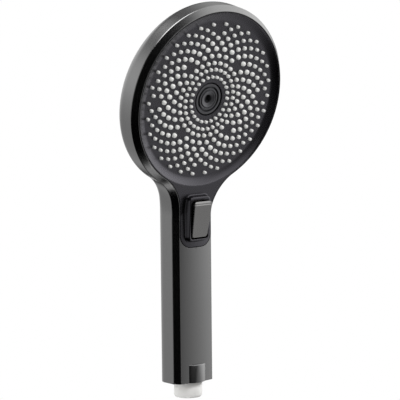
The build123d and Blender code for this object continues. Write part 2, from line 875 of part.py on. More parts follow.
keeper_face = handle_front - seat_depth
with BuildPart() as pin_keepers:
    with BuildSketch(Plane.XZ.offset(keeper_face - keeper_thick)):
        with Locations((-9.55, pin_height + 1.9), (9.55, pin_height + 1.9)):
            RectangleRounded(3.3, 9.6, 1)
        with Locations(*keeper_spots):
            Circle(keeper_screw + 0.1, mode=Mode.SUBTRACT)
    extrude(amount=keeper_thick)
    for side in (-1, 1):
        with BuildSketch(Plane.XZ.offset(keeper_face - 0.2)):
            with Locations((side * 8.6, pin_height)):
                Rectangle(1.3, 2 * pin_radius - 0.1)
        extrude(amount=pin_forward - pin_radius - keeper_face + 0.2)
    pin_keepers.part.label = "pin_keepers"
export_step(pin_keepers.part, "parts/pin_keepers.step")

with BuildPart() as keeper_screws:
    with BuildSketch(Plane.XZ.offset(keeper_face - keeper_thick)):
        with Locations(*keeper_spots):
            Circle(keeper_screw)
    extrude(amount=keeper_thick + 4.8)
    with BuildSketch(Plane.XZ.offset(keeper_face - keeper_thick - 1)):
        with Locations(*keeper_spots):
            Circle(1.6)
    extrude(amount=1)
    with BuildSketch(Plane.XZ.offset(keeper_face - keeper_thick - 1)):
        with Locations(*keeper_spots):
            RegularPolygon(0.8, 6)
    extrude(amount=0.6, mode=Mode.SUBTRACT)
    keeper_screws.part.label = "keeper_screws"
export_step(keeper_screws.part, "parts/keeper_screws.step")

# ================= water path in the handle
with BuildPart() as water_tube:
    with BuildSketch(Plane.XY.offset(foot_block)):
        Circle(tube_end_radius)
    extrude(amount=16)
    with BuildSketch(Plane.XY.offset(foot_block + 16)):
        Circle(tube_radius)
    extrude(amount=tube_neck - foot_block - 16)
    with BuildSketch(Plane.XY.offset(tube_neck)):
        Circle(tube_end_radius)
    extrude(amount=tube_top - tube_neck)
    with BuildSketch(Plane.XY.offset(foot_block)):
        Circle(tube_socket)
    extrude(amount=shank_top - foot_block, mode=Mode.SUBTRACT)
    with BuildSketch(Plane.XY.offset(foot_block)):
        Circle(5)
    extrude(amount=tube_top, mode=Mode.SUBTRACT)
    with BuildSketch(Plane.XY.offset(spigot_low - 0.5)):
        Circle(tube_socket)
    extrude(amount=20, mode=Mode.SUBTRACT)
    water_tube.part.label = "water_tube"
export_step(water_tube.part, "parts/water_tube.step")

with BuildPart() as tube_orings:
    for low in (nipple_groove, spigot_groove):
        with BuildSketch(Plane.XZ):
            with Locations(((groove_radius + tube_socket) / 2, low + groove_width / 2)):
                RectangleRounded(tube_socket - groove_radius, groove_width, 0.35)
        revolve(axis=Axis.Z)
    tube_orings.part.label = "tube_orings"
export_step(tube_orings.part, "parts/tube_orings.step")

with BuildPart() as inlet_nipple:
    with BuildSketch(Plane.XY.offset(-thread_length)):
        Circle(thread_radius)
    extrude(amount=thread_length)
    with BuildSketch(Plane.XY):
        Circle(plain_radius)
    extrude(amount=nipple_top)
    mouth = inlet_nipple.edges().filter_by(GeomType.CIRCLE).sort_by(Axis.Z)[0]
    fillet(mouth, nipple_round)
    with BuildSketch(Plane.XY.offset(nipple_top)):
        Circle(shank_radius)
    extrude(amount=shank_top - 0.5 - nipple_top)
    with BuildSketch(Plane.XY.offset(nipple_groove)):
        Circle(shank_radius + 1)
        Circle(groove_radius, mode=Mode.SUBTRACT)
    extrude(amount=groove_width, mode=Mode.SUBTRACT)
    with BuildSketch(Plane.XY.offset(-thread_length)):
        Circle(waterway_radius)
    extrude(amount=60, mode=Mode.SUBTRACT)
    with BuildSketch(Plane.XY.offset(-thread_length)):
        Circle(strainer_pocket)
    extrude(amount=strainer_depth, mode=Mode.SUBTRACT)
    inlet_nipple.part.label = "inlet_nipple"
export_step(inlet_nipple.part, "parts/inlet_nipple.step")

pocket_end = -thread_length + strainer_depth
with BuildPart() as flow_restrictor:
    with BuildSketch(Plane.XY.offset(pocket_end - 2.8)):
        Circle(strainer_pocket - 0.1)
    extrude(amount=2.8)
    with BuildSketch(Plane.XY.offset(pocket_end - 2.8)):
        Circle(5.4)
    extrude(amount=1.4, mode=Mode.SUBTRACT)
    with BuildSketch(Plane.XY.offset(pocket_end - 2.8)):
        with PolarLocations(2.5, 6):
            Circle(0.7)
    extrude(amount=3, mode=Mode.SUBTRACT)
    flow_restrictor.part.label = "flow_restrictor"
export_step(flow_restrictor.part, "parts/flow_restrictor.step")

with BuildPart() as filter_screen:
    with BuildSketch(Plane.XY.offset(-thread_length + 0.5)):
        Circle(strainer_pocket - 0.1)
    extrude(amount=strainer_depth - 2.8 - 0.5)
    with BuildSketch(Plane.XY.offset(-thread_length + 0.5)):
        Circle(6.3)
    extrude(amount=0.4, mode=Mode.SUBTRACT)
    with BuildSketch(Plane.XY.offset(-thread_length + 1.3)):
        Circle(6.3)
    extrude(amount=2, mode=Mode.SUBTRACT)
    with BuildSketch(Plane.XY.offset(-thread_length)):
        for hoop in range(1, 5):
            with Locations(*ring_spots(1.35 * hoop, 6 * hoop, 0, ())):
                Circle(0.45)
        Circle(0.45)
    extrude(amount=4, mode=Mode.SUBTRACT)
    filter_screen.part.label = "filter_screen"
export_step(filter_screen.part, "parts/filter_screen.step")
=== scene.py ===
"""Handheld shower head: its visible pieces as fine meshes over the frame's solids, with their
materials, the camera and the light."""

import json
from math import atan2, cos, pi, radians, sin, sqrt, tan

import bmesh
import bpy
import numpy as np
from mathutils import Matrix, Vector


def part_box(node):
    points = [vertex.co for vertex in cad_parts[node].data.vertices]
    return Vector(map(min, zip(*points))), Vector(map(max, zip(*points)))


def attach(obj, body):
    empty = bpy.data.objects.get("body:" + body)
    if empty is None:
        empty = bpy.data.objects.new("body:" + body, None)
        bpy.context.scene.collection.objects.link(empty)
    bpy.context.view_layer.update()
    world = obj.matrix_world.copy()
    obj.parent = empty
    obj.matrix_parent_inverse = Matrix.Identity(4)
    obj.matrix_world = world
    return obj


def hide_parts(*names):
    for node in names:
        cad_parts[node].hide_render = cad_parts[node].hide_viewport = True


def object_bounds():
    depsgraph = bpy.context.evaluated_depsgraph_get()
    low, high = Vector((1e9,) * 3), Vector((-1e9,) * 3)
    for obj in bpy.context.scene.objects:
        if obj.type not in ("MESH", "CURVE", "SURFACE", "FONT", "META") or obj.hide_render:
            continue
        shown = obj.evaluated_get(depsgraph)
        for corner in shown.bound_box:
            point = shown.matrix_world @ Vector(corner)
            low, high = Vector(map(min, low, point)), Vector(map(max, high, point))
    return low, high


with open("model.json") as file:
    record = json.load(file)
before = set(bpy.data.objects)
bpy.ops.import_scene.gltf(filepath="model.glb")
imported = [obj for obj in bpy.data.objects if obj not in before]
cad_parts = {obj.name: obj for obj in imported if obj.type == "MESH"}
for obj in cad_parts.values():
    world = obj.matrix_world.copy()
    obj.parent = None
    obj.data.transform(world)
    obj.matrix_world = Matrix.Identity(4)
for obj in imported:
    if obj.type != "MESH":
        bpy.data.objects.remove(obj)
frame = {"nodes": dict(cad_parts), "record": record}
cad_low, cad_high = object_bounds()

# ---------------------------------------------------------------- sizes, in millimetres
per_metre = 1000
box_margin = 0.01
shell_low, shell_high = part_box("body_shell")
nipple_low, nipple_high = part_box("inlet_nipple")
head_radius = shell_high.x * per_metre - box_margin
handle_back = shell_high.y * per_metre - box_margin
foot_rise = shell_low.z * per_metre
thread_radius = nipple_high.x * per_metre
thread_end = nipple_low.z * per_metre

# shell: the face leans forward by tilt, and the head's back by a little more
tilt = radians(13.2)
face_forward = 29.4
face_height = 209.3
handle_half = 18.65
handle_front = 10.1
crown_rise = 1.0
crown_half = 15.05
neck_radius = 30.5
front_blend = 60.0
back_blend = 90.0
head_depth = 22.3
wedge = radians(1.2)
head_wedge = tan(wedge)
back_round = 7.4
bevel_front = 3.6
bevel_side = 4.3
bevel_round = 1.2
wall_start = bevel_side + 4
lip = 0.35
lip_round = 0.3
spine_low = -46

# foot, with the rib on its front
foot_round = 0.25
rib_radius = 13.4
rib_height = 13.9
rib_half_turn = 0.62

# cover: the tongue runs down the handle, a seam parts it from the shell
tongue_low = 100.7
tongue_round = 9.6
seam_depth = 3.6
edge_gap = 0.5
edge_round = 0.2
patch_inset = bevel_front + lip + edge_gap + edge_round
floor_depth = 3.0
floor_radius = 58.4
dish_radius = 64.6
dish_lip = 0.3
dish_step = 0.35
slope_power = 1.4

# window in the cover and the collar round it, whose crest leans forward
window_half = 7.8
window_low = 107.4
window_high = 135.9
window_back = -7.6
crest_front = 15.1
crest_slope = 0.0636
crest_level = 114.3

# nubs and insert
nub_top = 0.75
nub_share = 0.465
jet_radius = 0.3
insert_radius = 11.4
insert_gap = 1.05
insert_seat = 5.2
outlet_radius = 3.2
outlet_depth = 3.85

# button
button_lean = radians(11.5)
button_low = 108.4
button_front = 15.0
button_length = 27.4
button_depth = 7.5
button_low_half = 7.15
button_high_half = 8.5
button_root_half = 7.2
button_corner = 2.2
button_edge = 0.45
tip_draw = 2.2
tip_depth = 1.6

# connector, with its spigot in the foot and its tube in the handle
mouth_radius = 7.4
mouth_depth = 4.6
spigot_radius = 10.2
spigot_top = 12.2
tube_radius = 5.95
tube_top = 28.5
bore_radius = 3.8

# how close points of a piece are merged, in metres
merge = 2e-5
fine_merge = 2e-6

# ring radius, nubs in the ring, phase in degrees, nub diameter, angles left out
rings = [
    (16.9, 24, 0, 2.45, ()),
    (22.3, 30, 0, 2.8, ()),
    (27.2, 30, 6, 3.2, ()),
    (32.6, 30, 0, 3.45, (48, 132, 228, 312)),
    (37.7, 30, 6, 3.75, ()),
    (41.9, 30, 0, 3.45, ()),
    (45.7, 30, 6, 3.2, ()),
    (49.3, 30, 0, 2.9, (0, 180)),
    (52.8, 30, 6, 2.7, (90, 270)),
    (56.0, 30, 0, 2.55, ()),
]


# ---------------------------------------------------------------- mesh helpers
def piece_from_grids(name, grids, near):
    """One mesh from several grids of points in millimetres, each (rows, columns, 3).
    A face joins each four neighbours; points closer than near, in metres, become one."""
    verts, faces, start = [], [], 0
    for points in grids:
        rows, cols = points.shape[:2]
        index = np.arange(rows * cols).reshape(rows, cols) + start
        quads = np.stack([index[:-1, :-1], index[:-1, 1:], index[1:, 1:], index[1:, :-1]], -1)
        verts.append(points.reshape(-1, 3) / per_metre)
        faces.append(quads.reshape(-1, 4))
        start += rows * cols
    mesh = bpy.data.meshes.new(name)
    mesh.from_pydata(np.concatenate(verts).tolist(), [], np.concatenate(faces).tolist())
    bm = bmesh.new()
    bm.from_mesh(mesh)
    bmesh.ops.remove_doubles(bm, verts=bm.verts, dist=near)
    bmesh.ops.dissolve_degenerate(bm, dist=1e-8, edges=bm.edges)
    bm.to_mesh(mesh)
    bm.free()
    mesh.shade_smooth()
    piece = bpy.data.objects.new(name, mesh)
    bpy.context.scene.collection.objects.link(piece)
    return piece


def flip(points):
    """The same grid with its faces turned over."""
    return points[:, ::-1]


def rounded(corners, radii, steps=5):
    """A polyline of (a, b) points with each inner corner replaced by an arc of its radius."""
    corners = np.array(corners, float)
    out = [corners[0]]
    for k in range(1, len(corners) - 1):
        before, here, after = corners[k - 1], corners[k], corners[k + 1]
        radius = radii[k - 1]
        one = (before - here) / np.linalg.norm(before - here)
        two = (after - here) / np.linalg.norm(after - here)
        half = np.arccos(np.clip(one @ two, -1, 1)) / 2
        if radius <= 0 or half > pi / 2 - 1e-3:
            out.append(here)
            continue
        reach = radius / np.tan(half)
        centre = here + (one + two) / np.linalg.norm(one + two) * radius / np.sin(half)
        start = here + one * reach - centre
        end = here + two * reach - centre
        first = np.arctan2(start[1], start[0])
        turn = np.arctan2(end[1], end[0]) - first
        turn = (turn + pi) % (2 * pi) - pi
        angle = first + turn * np.linspace(0, 1, steps + 1)
        out.extend(centre + radius * np.stack([np.cos(angle), np.sin(angle)], -1))
    out.append(corners[-1])
    return np.array(out)


def refine(line, longest):
    """The same polyline with every run divided so that no step is longer than longest."""
    out = [line[:1]]
    for a, b in zip(line[:-1], line[1:]):
        n = max(1, int(np.ceil(np.linalg.norm(b - a) / longest)))
        out.append(a + (b - a) * (np.arange(1, n + 1) / n)[:, None])
    return np.concatenate(out)


# ---------------------------------------------------------------- the bent sheet that the front lies on
blend_reach = front_blend * tan(tilt / 2)
kink_w = -(face_forward - handle_front) / sin(tilt)
kink_z = face_height + kink_w * cos(tilt)
blend_top = kink_w + blend_reach
blend_low = blend_top - front_blend * tilt
blend_low_z = kink_z - blend_reach


def sheet(w):
    """Side view of the front: a leaning line for the face, an arc of radius front_blend, then
    the upright handle. w is the length along it, 0 at the head's centre. Returns y, z and the lean."""
    w = np.asarray(w, float)
    lean = np.clip((w - blend_low) / front_blend, 0, tilt)
    y_arc = -handle_front - front_blend * (1 - np.cos(lean))
    z_arc = blend_low_z + front_blend * np.sin(lean)
    up = np.maximum(w - blend_top, 0)
    down = np.minimum(w - blend_low, 0)
    y = y_arc - up * sin(tilt)
    z = z_arc + up * cos(tilt) + down
    return y, z, lean


def w_at_height(z):
    """The length along the sheet at which it reaches height z."""
    grid = np.linspace(-230, 90, 3201)
    return np.interp(z, sheet(grid)[1], grid)


def on_sheet(u, w, depth):
    """Point at u across, w along and depth behind the sheet."""
    y, z, lean = sheet(w)
    u, y, z, lean, depth = np.broadcast_arrays(u, y, z, lean, depth)
    return np.stack([u, y + depth * np.cos(lean), z + depth * np.sin(lean)], -1)


def crown(u, z):
    """How far the handle's front bulges ahead of the sheet: a shallow bow across the handle that
    stays upright, so that the leaning face grows out of it."""
    bulge = crown_rise * np.clip(1 - (u / crown_half) ** 2, 0, None)
    sheet_y = sheet(w_at_height(z))[0]
    return np.clip(sheet_y + handle_front + bulge, 0, None)


def back_profile():
    """Side view of the back as (y, z) points from below: upright handle back, an arc of radius
    back_blend and the leaning back of the head."""
    lean = tilt + wedge
    foot_v = (head_depth * cos(tilt) - face_forward - handle_back) / (sin(tilt) + head_wedge * cos(tilt))
    deep = head_depth - head_wedge * foot_v
    bend = np.array(
        [
            -face_forward - foot_v * sin(tilt) + deep * cos(tilt),
            face_height + foot_v * cos(tilt) + deep * sin(tilt),
        ]
    )
    reach = back_blend * tan(lean / 2)
    angle = np.linspace(0, lean, 60)
    arc_y = bend[0] - back_blend * (1 - np.cos(angle))
    arc_z = bend[1] - reach + back_blend * np.sin(angle)
    low = np.stack([np.full(80, handle_back), np.linspace(-40, bend[1] - reach - 0.1, 80)], -1)
    arc = np.stack([arc_y, arc_z], -1)
    run = np.linspace(0.1, 190, 120)
    high = arc[-1] + run[:, None] * np.array([-sin(lean), cos(lean)])
    return np.concatenate([low, arc, high])


def back_depths(w):
    """Where a line square to the sheet meets the back, as its depth there, for each w."""
    back = back_profile()
    y, z, lean = sheet(w)
    offset_y = back[None, :, 0] - y[:, None]
    offset_z = back[None, :, 1] - z[:, None]
    along = -offset_y * np.sin(lean)[:, None] + offset_z * np.cos(lean)[:, None]
    behind = offset_y * np.cos(lean)[:, None] + offset_z * np.sin(lean)[:, None]
    return np.array([np.interp(0, a, b) for a, b in zip(along, behind)])


w_grid = np.linspace(-215, 85, 601)
back_grid = back_depths(w_grid)


def back_depth(w):
    """Depth of the back behind the sheet at w."""
    return np.interp(w, w_grid, back_grid)


# ---------------------------------------------------------------- outlines on the sheet
neck_x = handle_half + neck_radius
neck_w = -sqrt((head_radius + neck_radius) ** 2 - neck_x**2)
neck_angle = atan2(neck_w, neck_x)
foot_w = float(w_at_height(foot_rise))


def half_outline(inset, start_w, strip_steps=70):
    """Right half of the plan, from start_w up the handle's side, round the neck and the head to
    the top: points, inward normals and the angle round the head (or the neck's share of it)."""
    strip = np.linspace(start_w, neck_w, strip_steps + 1)[:-1]
    side = np.stack([np.full_like(strip, handle_half), strip], -1)
    side_in = np.tile([-1.0, 0.0], (len(strip), 1))
    sweep = np.linspace(pi, pi + neck_angle, 31)[:-1]
    ray = np.stack([np.cos(sweep), np.sin(sweep)], -1)
    neck = np.array([neck_x, neck_w]) + neck_radius * ray
    turn = np.linspace(neck_angle, pi / 2, 111)
    out = np.stack([np.cos(turn), np.sin(turn)], -1)
    head = head_radius * out
    points = np.concatenate([side, neck, head])
    inward = np.concatenate([side_in, ray, -out])
    share = np.concatenate(
        [
            np.zeros(len(strip)),
            np.linspace(0, 1, len(sweep) + 1)[:-1],
            1 + (turn - neck_angle) / (pi / 2 - neck_angle),
        ]
    )
    return points + inset * inward, inward, share


def mirror_on(points):
    """The right half followed by its mirror, top row shared."""
    left = points[-2::-1] * np.array([-1.0, 1.0])
    return np.concatenate([points, left])


def seam_loop(delta, steps=24):
    """Closed outline of the cover's seat, moved inwards by delta: the rounded lower end of the
    tongue, the handle's width, neck and head."""
    inset = bevel_front + lip
    half = handle_half - inset
    low = float(w_at_height(tongue_low))
    corner_w = low + tongue_round
    right, inward, _ = half_outline(inset, corner_w, 40)
    sweep = np.linspace(-pi / 2, 0, steps + 1)[:-1]
    ray = np.stack([np.cos(sweep), np.sin(sweep)], -1)
    corner = np.array([half - tongue_round, corner_w]) + tongue_round * ray
    flat = np.stack([np.linspace(0, half - tongue_round, 9)[:-1], np.full(8, low)], -1)
    points = np.concatenate([flat, corner, right])
    normals = np.concatenate([np.tile([0.0, 1.0], (8, 1)), -ray, inward])
    return mirror_on(points + delta * normals)


def ribbon(profile):
    """Surface carried along the seam: profile is (delta, depth) pairs; the front rises with the
    crown where the seam crosses the handle."""
    rows = []
    for delta, depth in profile:
        loop = seam_loop(delta)
        z = sheet(loop[:, 1])[1]
        rows.append(on_sheet(loop[:, 0], loop[:, 1], depth - crown(loop[:, 0], z)))
    return np.stack(rows, 1)


def skin_strip(points, inward, inset, depth):
    """Rows of the shell's outside at one inset and depth."""
    moved = points + inset * inward
    return on_sheet(moved[:, 0], moved[:, 1], depth)


# ---------------------------------------------------------------- shell
def edge_profile():
    """The shell's front edge as (inset, depth) pairs: lip, bevel and the start of the side wall."""
    corners = [(bevel_front + lip, 0.0), (bevel_front, 0.0), (0.0, bevel_side), (0.0, wall_start)]
    return rounded(corners, [lip_round, bevel_round], 6)


def shell_grids():
    """The shell's outside. Across: lip, bevel, rounded edge, side wall, back rounding and the
    back itself, which runs in to a spine up the middle. Along: up one side, round the head, down
    the other."""
    right, inward, share = half_outline(0, foot_w + foot_round)
    points = mirror_on(right)
    normals = mirror_on(inward)
    share = np.concatenate([share, share[-2::-1]])
    rows = [skin_strip(points, normals, inset, depth) for inset, depth in refine(edge_profile(), 0.9)]
    wall_depth = back_depth(points[:, 1]) - back_round - wall_start
    for part in np.linspace(0.2, 1, 5):
        rows.append(skin_strip(points, normals, 0, wall_start + wall_depth * part))
    for angle in np.linspace(0, pi / 2, 13)[1:]:
        moved = points + back_round * (1 - cos(angle)) * normals
        depth = back_depth(moved[:, 1]) - back_round * (1 - sin(angle))
        rows.append(on_sheet(moved[:, 0], moved[:, 1], depth))
    edge = points + back_round * normals
    spine_w = np.where(share <= 1, points[:, 1] * (1 - share) + share * spine_low, 0)
    climb = np.clip((share - 1) / 0.45, 0, 1)
    spine_w = np.where(share > 1, spine_low * (1 - climb) ** 2, spine_w)
    spine = np.stack([np.zeros(len(edge)), spine_w], -1)
    for part in np.linspace(0, 1, 25)[1:]:
        moved = edge + (spine - edge) * part
        rows.append(on_sheet(moved[:, 0], moved[:, 1], back_depth(moved[:, 1])))
    return [np.stack(rows, 1)]


def handle_front_grid():
    """The handle's crowned front below the tongue, from the foot up to the seam."""
    half = handle_half - bevel_front - lip
    columns = half * np.sin(np.linspace(-pi / 2, pi / 2, 61))
    low = float(w_at_height(tongue_low))
    over = np.clip(np.abs(columns) - (half - tongue_round), 0, tongue_round)
    top = low + tongue_round - np.sqrt(np.clip(tongue_round**2 - over**2, 0, None)) - 0.15
    share = np.linspace(0, 1, 61)
    w = foot_w + foot_round + (top - foot_w - foot_round)[:, None] * share[None, :]
    u = columns[:, None] + 0 * w
    return on_sheet(u, w, -crown(u, sheet(w)[1]))


def foot_section():
    """The handle's cross-section at the foot as (x, y) points, once round."""
    right = [(handle_half - inset, -handle_front + depth) for inset, depth in edge_profile()]
    corner = [
        (handle_half - back_round * (1 - cos(a)), handle_back - back_round * (1 - sin(a)))
        for a in np.linspace(0, pi / 2, 13)
    ]
    half = np.array(right + corner + [(0.0, handle_back)])
    half = refine(half, 0.6)
    across = np.linspace(0, handle_half - bevel_front - lip, 24)[:-1]
    crest = np.stack([across, -handle_front - crown_rise * (1 - (across / crown_half) ** 2)], -1)
    half = np.concatenate([crest, half])
    return np.concatenate([half, (half * [-1.0, 1.0])[-2:0:-1]])


def foot_grids():
    """The foot: the section's edge rounded under to a flat ring round the connector, and the rib
    on the front, a slice of a cylinder about the connector's axis with a flat top."""
    loop = foot_section()
    angle = np.arctan2(loop[:, 1], loop[:, 0])
    reach = np.hypot(loop[:, 0], loop[:, 1])
    order = np.argsort(angle)
    angle, reach = angle[order], reach[order]
    turn = np.linspace(-pi, pi, 361)
    outer = np.interp(turn, np.r_[angle - 2 * pi, angle, angle + 2 * pi], np.tile(reach, 3))
    wide = np.maximum(outer, np.where(np.sin(turn) < -0.6, rib_radius, 0))
    rows = []
    for a in np.linspace(0, pi / 2, 5):
        r = outer - foot_round * (1 - cos(a))
        height = foot_rise + foot_round - foot_round * sin(a)
        rows.append(np.stack([r * np.cos(turn), r * np.sin(turn), np.full_like(r, height)], -1))
    last = wide - foot_round
    rows.append(np.stack([last * np.cos(turn), last * np.sin(turn), np.full_like(last, foot_rise)], -1))
    for r, z in ((11.0, 0.0), (10.45, 0.1), (10.32, 0.4), (10.32, 4.0)):
        rows.append(np.stack([r * np.cos(turn), r * np.sin(turn), np.full_like(turn, foot_rise + z)], -1))
    ring = np.stack(rows, 1)
    sweep = np.linspace(-pi / 2 - rib_half_turn, -pi / 2 + rib_half_turn, 41)
    corners = [(10.8, foot_rise), (rib_radius, foot_rise), (rib_radius, rib_height), (9.8, rib_height)]
    line = rounded(corners, [0.3, 0.7], 5)
    rib = np.stack(
        [
            np.stack([r * np.cos(sweep), r * np.sin(sweep), np.full_like(sweep, z)], -1)
            for r, z in line
        ],
        1,
    )
    return [ring, flip(rib)]


lip_edge = rounded([(-0.15, 0.0), (0.0, 0.0), (0.0, seam_depth), (0.9, seam_depth)], [0.15, 0], 3)
shell = piece_from_grids(
    "shell",
    shell_grids() + [handle_front_grid()] + foot_grids() + [flip(ribbon(lip_edge))],
    merge,
)
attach(shell, "handset")
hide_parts("body_shell")


# ---------------------------------------------------------------- cover
def turned(profile, steps):
    """A profile of (radius, depth) pairs turned about the face's normal through the head's centre."""
    turn = np.linspace(0, 2 * pi, steps + 1)
    rows = [on_face(r * np.cos(turn), r * np.sin(turn), np.full_like(turn, d)) for r, d in profile]
    return np.stack(rows, 1)


def on_face(u, v, depth):
    """Point in the face's own plane: u across, v up, depth behind it."""
    u, v, depth = np.broadcast_arrays(u, v, depth)
    y = -face_forward - v * sin(tilt) + depth * cos(tilt)
    z = face_height + v * cos(tilt) + depth * sin(tilt)
    return np.stack([u, y, z], -1)


def dish_profile():
    """The dish from its edge to the insert's groove: a small rounded lip, a concave slope and a
    flat floor."""
    slope_share = np.linspace(0, 1, 13)
    slope_r = dish_radius + (floor_radius - dish_radius) * slope_share
    fall = (floor_depth - dish_step) * (1 - (1 - slope_share) ** slope_power) + dish_step
    slope = np.stack([slope_r, fall], -1)
    step = [(dish_radius + dish_lip, 0.0), (dish_radius + 0.02, 0.0), (dish_radius, dish_step)]
    lip_part = rounded(step, [0.2], 3)
    floor = np.array([(floor_radius - 0.4, floor_depth), (50, floor_depth), (30, floor_depth)])
    hole_radius = insert_radius + insert_gap
    groove = [(14, floor_depth), (hole_radius, floor_depth), (hole_radius, insert_seat), (11, insert_seat)]
    hole = rounded(groove, [0.15, 0], 3)
    return np.concatenate([lip_part, slope[1:], floor, hole])


def cover_patches():
    """The flat neck and tongue between the dish's edge and the seam: a middle patch with straight
    sides and one each side that follows the neck's curve. The head's narrow rim is a fourth."""
    edge = dish_radius + dish_lip
    half = handle_half - patch_inset
    columns = half * np.sin(np.linspace(-pi / 2, pi / 2, 81))
    radius = tongue_round - edge_gap - edge_round
    low = float(w_at_height(tongue_low)) + edge_gap + edge_round
    over = np.clip(np.abs(columns) - (half - radius), 0, radius)
    bottom = low + radius - np.sqrt(np.clip(radius**2 - over**2, 0, None))
    top = -np.sqrt(edge**2 - columns**2)
    share = np.linspace(0, 1, 161)
    w = bottom[:, None] + (top - bottom)[:, None] * share[None, :]
    u = columns[:, None] + 0 * w
    middle = on_sheet(u, w, -crown(u, sheet(w)[1]))
    sweep = np.linspace(pi, pi + neck_angle, 41)
    reach = neck_radius + patch_inset
    side_u = neck_x + reach * np.cos(sweep)
    side_w = neck_w + reach * np.sin(sweep)
    tops = -np.sqrt(edge**2 - side_u**2)
    share = np.linspace(0, 1, 41)
    w = side_w[:, None] + (tops - side_w)[:, None] * share[None, :]
    u = side_u[:, None] + 0 * w
    right = on_sheet(u, w, -crown(u, sheet(w)[1]))
    left = right * np.array([-1.0, 1.0, 1.0])
    turn = np.linspace(neck_angle, pi - neck_angle, 281)
    rim = np.stack(
        [
            on_face(r * np.cos(turn), r * np.sin(turn), np.zeros_like(turn))
            for r in (head_radius - patch_inset, edge)
        ],
        1,
    )
    return [middle, right, flip(left), rim]


def box_loop(half, low, high, corner, steps=8):
    """Closed rounded rectangle in x and z, from the middle of its lower side."""
    centre_x, low_c, high_c = half - corner, low + corner, high - corner
    parts = [np.array([(0.0, low)])]
    for cx, cz, start in (
        (centre_x, low_c, -90),
        (centre_x, high_c, 0),
        (-centre_x, high_c, 90),
        (-centre_x, low_c, 180),
    ):
        a = np.radians(np.linspace(start, start + 90, steps + 1))
        parts.append(np.stack([cx + corner * np.cos(a), cz + corner * np.sin(a)], -1))
    parts.append(np.array([(0.0, low)]))
    loop = np.concatenate(parts)
    even = np.linspace(0, 1, 25)[1:-1]
    out = [loop[:1]]
    for k in range(len(loop) - 1):
        a, b = loop[k], loop[k + 1]
        if k in (steps + 1, 2 * steps + 2, 3 * steps + 3):
            out.append(a + (b - a) * even[:, None])
        out.append(loop[k + 1 : k + 2])
    return np.concatenate(out)


def crest_y(z):
    """Front of the collar's crest."""
    return -(crest_front + crest_slope * (z - crest_level))


def front_y(x, z):
    """Front of the cover at x and height z, crown included."""
    return sheet(w_at_height(z))[0] - crown(x, z)


def collar_grid():
    """The collar: loops that run from its foot up an S-shaped wall to a rounded crest and down
    inside the window. a moves from the foot's outline to the crest's, h from the cover to the
    crest."""
    foot = box_loop(half=10.5, low=105.3, high=139.5, corner=4.2)
    crest = box_loop(half=9.3, low=106.4, high=138.2, corner=3.1)
    inner = box_loop(window_half + 0.25, window_low - 0.2, window_high + 0.25, corner=1.8)
    hole = box_loop(window_half, window_low, window_high, corner=1.6)
    rows = []
    wall = (
        (-0.62, -0.03),
        (-0.45, 0.0),
        (-0.2, 0.04),
        (0.0, 0.12),
        (0.14, 0.24),
        (0.3, 0.42),
        (0.46, 0.62),
        (0.62, 0.79),
        (0.78, 0.91),
        (0.92, 0.975),
        (1.05, 1.0),
    )
    for a, h in wall:
        loop = foot + (crest - foot) * a
        x, z = loop[:, 0], loop[:, 1]
        rows.append(np.stack([x, front_y(x, z) * (1 - h) + crest_y(z) * h, z], -1))
    for a, drop in ((0.5, -0.02), (0.85, 0.03), (1.0, 0.12)):
        loop = crest + (inner - crest) * a
        x, z = loop[:, 0], loop[:, 1]
        rows.append(np.stack([x, crest_y(z) + drop, z], -1))
    x, z = hole[:, 0], hole[:, 1]
    for drop in (0.4, 1.5, 3.5):
        rows.append(np.stack([x, crest_y(z) + drop, z], -1))
    rows.append(np.stack([x, np.full_like(x, window_back), z], -1))
    return flip(np.stack(rows, 1))


def cover_edge():
    """The cover's edge along the seam as (delta, depth) pairs."""
    corners = [
        (edge_gap + edge_round, 0.0),
        (edge_gap, 0.0),
        (edge_gap, seam_depth),
        (edge_gap - 0.1, seam_depth),
    ]
    return rounded(corners, [edge_round, 0], 4)


def open_window(piece):
    """Takes the faces of the cover's front away where the window is."""
    bm = bmesh.new()
    bm.from_mesh(piece.data)
    inside = []
    for face in bm.faces:
        middle = face.calc_center_median() * per_metre
        across = abs(middle.x) < window_half + 0.4
        between = window_low - 0.5 < middle.z < window_high + 0.5
        ahead = middle.y < -10.5
        if across and between and ahead and abs(middle.y - float(front_y(middle.x, middle.z))) < 0.05:
            inside.append(face)
    bmesh.ops.delete(bm, geom=inside, context="FACES")
    bm.to_mesh(piece.data)
    bm.free()


cover = piece_from_grids(
    "cover",
    [flip(turned(dish_profile(), 360))] + cover_patches() + [ribbon(cover_edge()), collar_grid()],
    merge,
)
open_window(cover)
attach(cover, "handset")
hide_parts("face_cover")


# ---------------------------------------------------------------- nubs
def nub_field():
    """Every nub as a grid: a short turned shape with a rounded top and a jet hole, repeated round
    the rings."""
    spots = []
    for radius, count, phase, width, left_out in rings:
        for k in range(count):
            a = phase + 360 / count * k
            if all(abs(a - b) > 1 for b in left_out):
                spots.append((radius * cos(radians(a)), radius * sin(radians(a)), width * nub_share))
    spot_u, spot_v, spot_r = np.array(spots).T[:, :, None, None]
    # along the profile: radius as a share of the nub's and in millimetres, depth in millimetres
    # and as a share of the nub's radius
    profile = [
        (1.0, 0, floor_depth + 0.3, 0),
        (0.98, 0, nub_top + 0.95, 0),
        (0.95, 0, nub_top, 0.55),
        (0.85, 0, nub_top, 0.28),
        (0.66, 0, nub_top, 0.1),
        (0.38, 0, nub_top, 0.01),
        (0, jet_radius, nub_top + 0.01, 0),
        (0, jet_radius - 0.04, nub_top + 0.6, 0),
    ]
    share, extra, depth, fall = np.array(profile).T[:, None, :, None]
    turn = np.linspace(0, 2 * pi, 15)
    r = spot_r * share + extra
    points = on_face(spot_u + r * np.cos(turn), spot_v + r * np.sin(turn), depth + fall * spot_r)
    return list(points)


nubs = piece_from_grids("spray_nubs", nub_field(), merge)
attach(nubs, "handset")
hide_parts("nozzle_mat")


